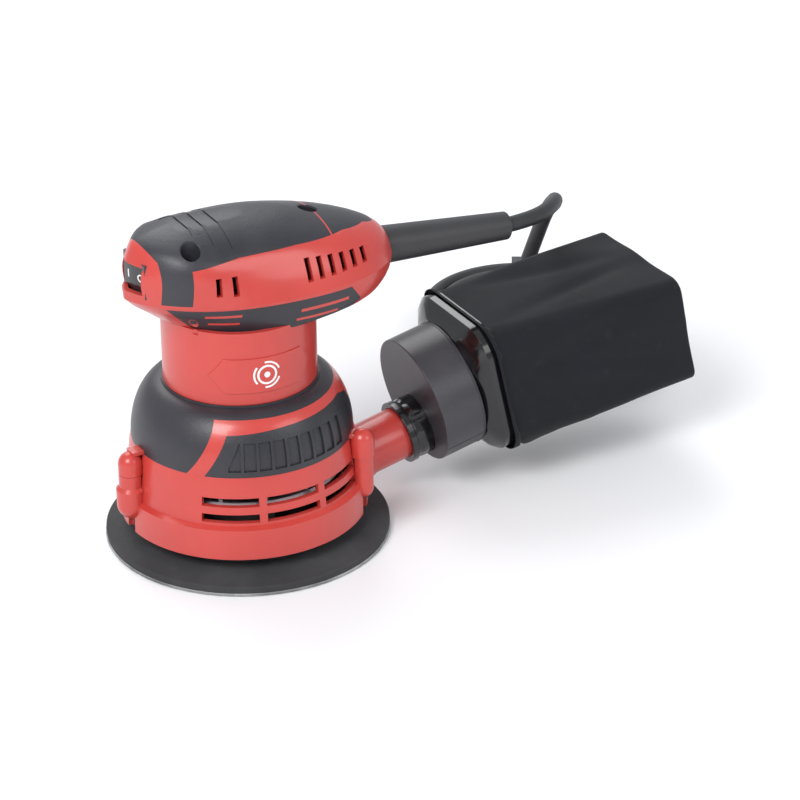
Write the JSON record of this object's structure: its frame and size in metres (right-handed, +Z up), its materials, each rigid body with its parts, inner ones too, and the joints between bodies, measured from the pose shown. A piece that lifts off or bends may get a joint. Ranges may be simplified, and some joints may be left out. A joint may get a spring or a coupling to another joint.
{
  "type": "orbital sander",
  "caption": "Palm-held random-orbit sander with a round hook-faced pad, domed motor housing, rocker switch, mains cord and a cloth dust bag on a tilted outlet.",
  "frame": {"origin": "on the motor axis, in the plane of the sanding face", "axes": "+Z up along the motor axis, +X to the rear, where the cord and the dust outlet leave, so the switch faces -X"},
  "size_m": [0.3158, 0.2255, 0.1493],
  "materials": {
    "red_plastic": "satin moulded nylon",
    "black_grip": "soft overmould, matt",
    "black_plastic": "moulded, satin",
    "gloss_black": "glossy moulded",
    "bag_cloth": "close woven cloth",
    "foam": "closed cell foam",
    "hook_face": "hook tape",
    "rubber": "matt rubber",
    "cord_jacket": "rubber sheath",
    "steel": "ground steel",
    "screw_steel": "blackened steel",
    "brass": "turned brass",
    "copper": "enamelled copper",
    "zinc": "die cast",
    "cast_alu": "die cast",
    "carbon": "pressed carbon",
    "laminations": "stacked steel sheet",
    "plug_metal": "nickel plated"
  },
  "bodies": {
    "housing": {"head_cover": "red_plastic", "top_grip": "black_grip", "switch_body": "black_plastic", "cover_screws": "screw_steel", "motor_housing": "red_plastic", "waist_grip": "black_grip", "shoulder_grip": "black_grip", "badge": "red_plastic", "skirt": "red_plastic", "skirt_screws": "screw_steel", "stator_core": "laminations", "field_coils": "copper", "lower_bearing": "steel", "bearing_retainer": "steel", "retainer_screws": "steel", "upper_bearing": "steel", "upper_bearing_bush": "rubber", "brush_holders": "brass", "carbon_brushes": "carbon", "brush_springs": "steel", "baffle_ring": "black_plastic", "brake_ring": "rubber", "capacitor": "black_plastic", "cord_clamp": "black_plastic", "clamp_screws": "steel", "cord_guard": "rubber", "cord_inner": "cord_jacket", "cord": "cord_jacket", "cord_tail": "cord_jacket", "cord_coil": "cord_jacket", "coil_tie": "black_plastic", "plug_body": "rubber", "plug_pins": "plug_metal"},
    "armature": {"armature_shaft": "steel", "armature_core": "laminations", "armature_windings": "copper", "commutator": "copper", "fan": "cast_alu", "insulation_washer": "carbon", "counterweight": "zinc", "pad_bearing": "steel", "retaining_ring": "steel"},
    "pad": {"spindle": "steel", "pad_plate": "black_plastic", "pad_foam": "foam", "hook_layer": "hook_face", "pad_screw": "steel", "pad_washer": "steel"},
    "rocker": {"switch_rocker": "gloss_black"},
    "dust_bag": {"bag_socket": "gloss_black", "socket_seal": "rubber", "bag_drum": "black_plastic", "bag_frame": "gloss_black", "dust_bag": "bag_cloth"}
  },
  "joints": [
    {"name": "armature_spin", "type": "hinge", "parent": "housing", "child": "armature", "pos_m": [0, 0, 0.06], "axis": [0, 0, 1], "continuous": true},
    {"name": "pad_spin", "type": "hinge", "parent": "armature", "child": "pad", "pos_m": [0.0014, 0, 0.02], "axis": [0, 0, 1], "continuous": true},
    {"name": "switch_rocker", "type": "hinge", "parent": "housing", "child": "rocker", "pos_m": [-0.0418, 0, 0.1305], "axis": [0, 0, -1], "range_deg": [0, 26]},
    {"name": "dust_bag_pull", "type": "slide", "parent": "housing", "child": "dust_bag", "axis": [0.9755, 0, 0.2198], "range_m": [0, 0.03]}
  ]
}
